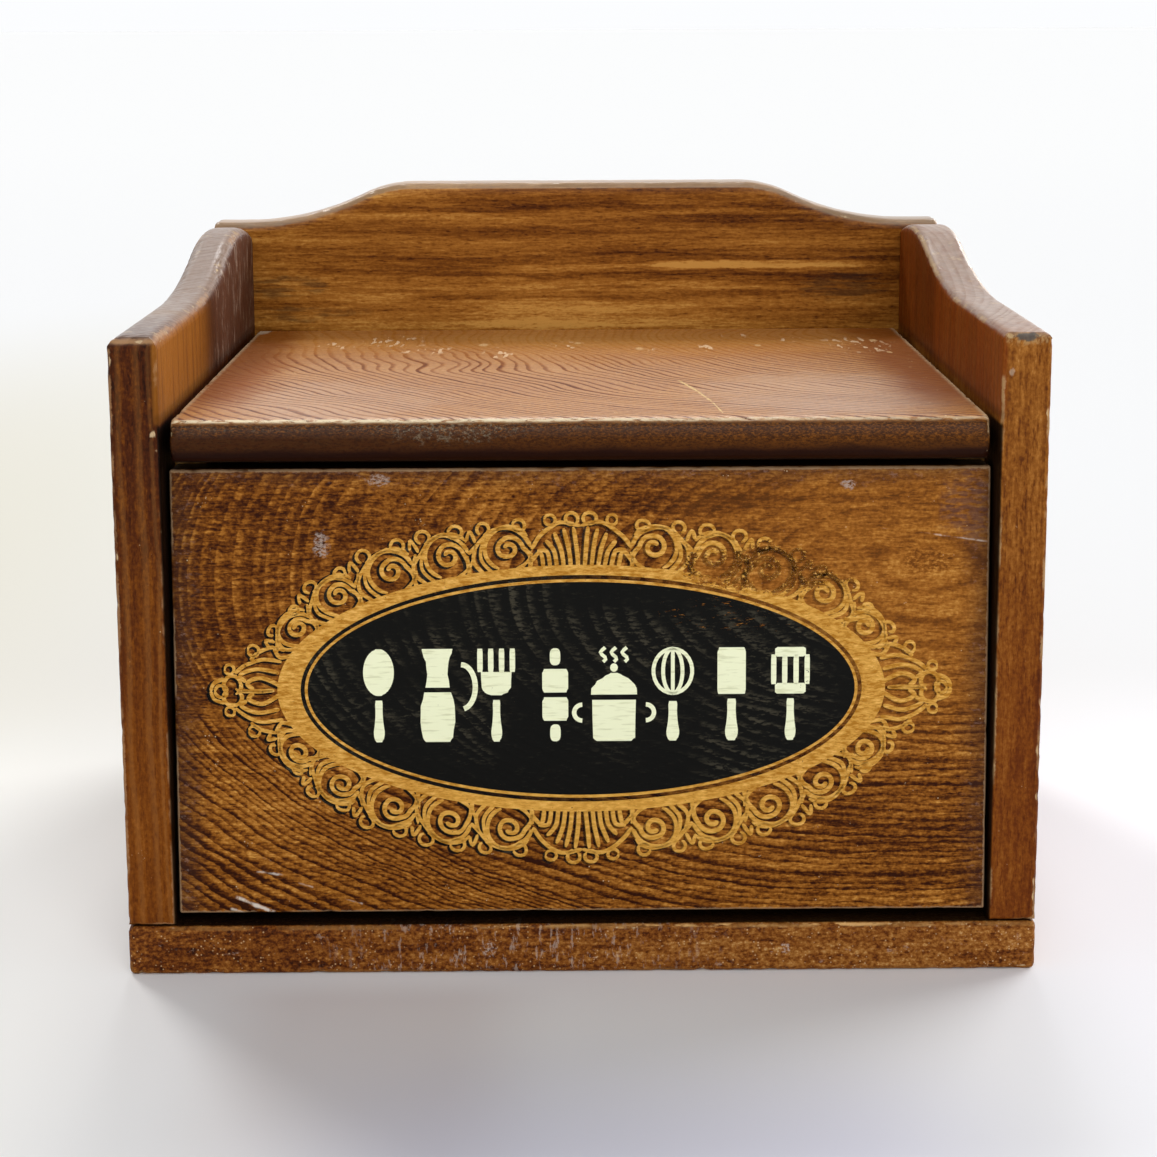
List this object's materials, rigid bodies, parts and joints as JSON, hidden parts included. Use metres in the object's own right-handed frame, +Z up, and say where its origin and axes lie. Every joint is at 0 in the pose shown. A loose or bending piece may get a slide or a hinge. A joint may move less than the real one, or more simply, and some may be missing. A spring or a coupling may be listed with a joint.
{
  "type": "recipe card box",
  "caption": "Nailed wooden card box with a scrolled gallery top, a lid that lifts on nail pivots and a front board that drops open.",
  "frame": {"origin": "bottom centre of the whole box, on the surface that it stands on", "axes": "+X to the right seen from the front, +Y from the front to the back panel, +Z up"},
  "size_m": [0.17, 0.1348, 0.1391],
  "materials": {
    "base_wood": "dark walnut stain, scuffed, satin",
    "side_wood": "walnut stain over softwood, satin, worn edges",
    "back_wood": "golden brown stain with dark streaks, satin",
    "cleat_wood": "thinly stained softwood, matte",
    "lid_wood": "reddish brown stain, satin varnish, worn front edge",
    "front_wood": "golden stain with dark grain streaks, printed oval, satin varnish",
    "nail_steel": "dull steel nail"
  },
  "bodies": {
    "carcass": {"base_board": "base_wood", "left_side": "side_wood", "right_side": "side_wood", "back_panel": "back_wood", "left_front_cleat": "cleat_wood", "right_front_cleat": "cleat_wood", "left_lid_pin": "nail_steel", "right_lid_pin": "nail_steel", "left_front_pin": "nail_steel", "right_front_pin": "nail_steel", "base_nails": "nail_steel", "back_nails": "nail_steel", "cleat_brads": "nail_steel"},
    "lid": {"lid_board": "lid_wood"},
    "front": {"drop_front": "front_wood"}
  },
  "joints": [
    {"name": "lid_hinge", "type": "hinge", "parent": "carcass", "child": "lid", "pos_m": [0, 0.0527, 0.10103], "axis": [-1, 0, 0], "range_deg": [0, 92]},
    {"name": "front_hinge", "type": "hinge", "parent": "carcass", "child": "front", "pos_m": [0, -0.0613, 0.0163], "axis": [1, 0, 0], "range_deg": [0, 101.2]}
  ]
}
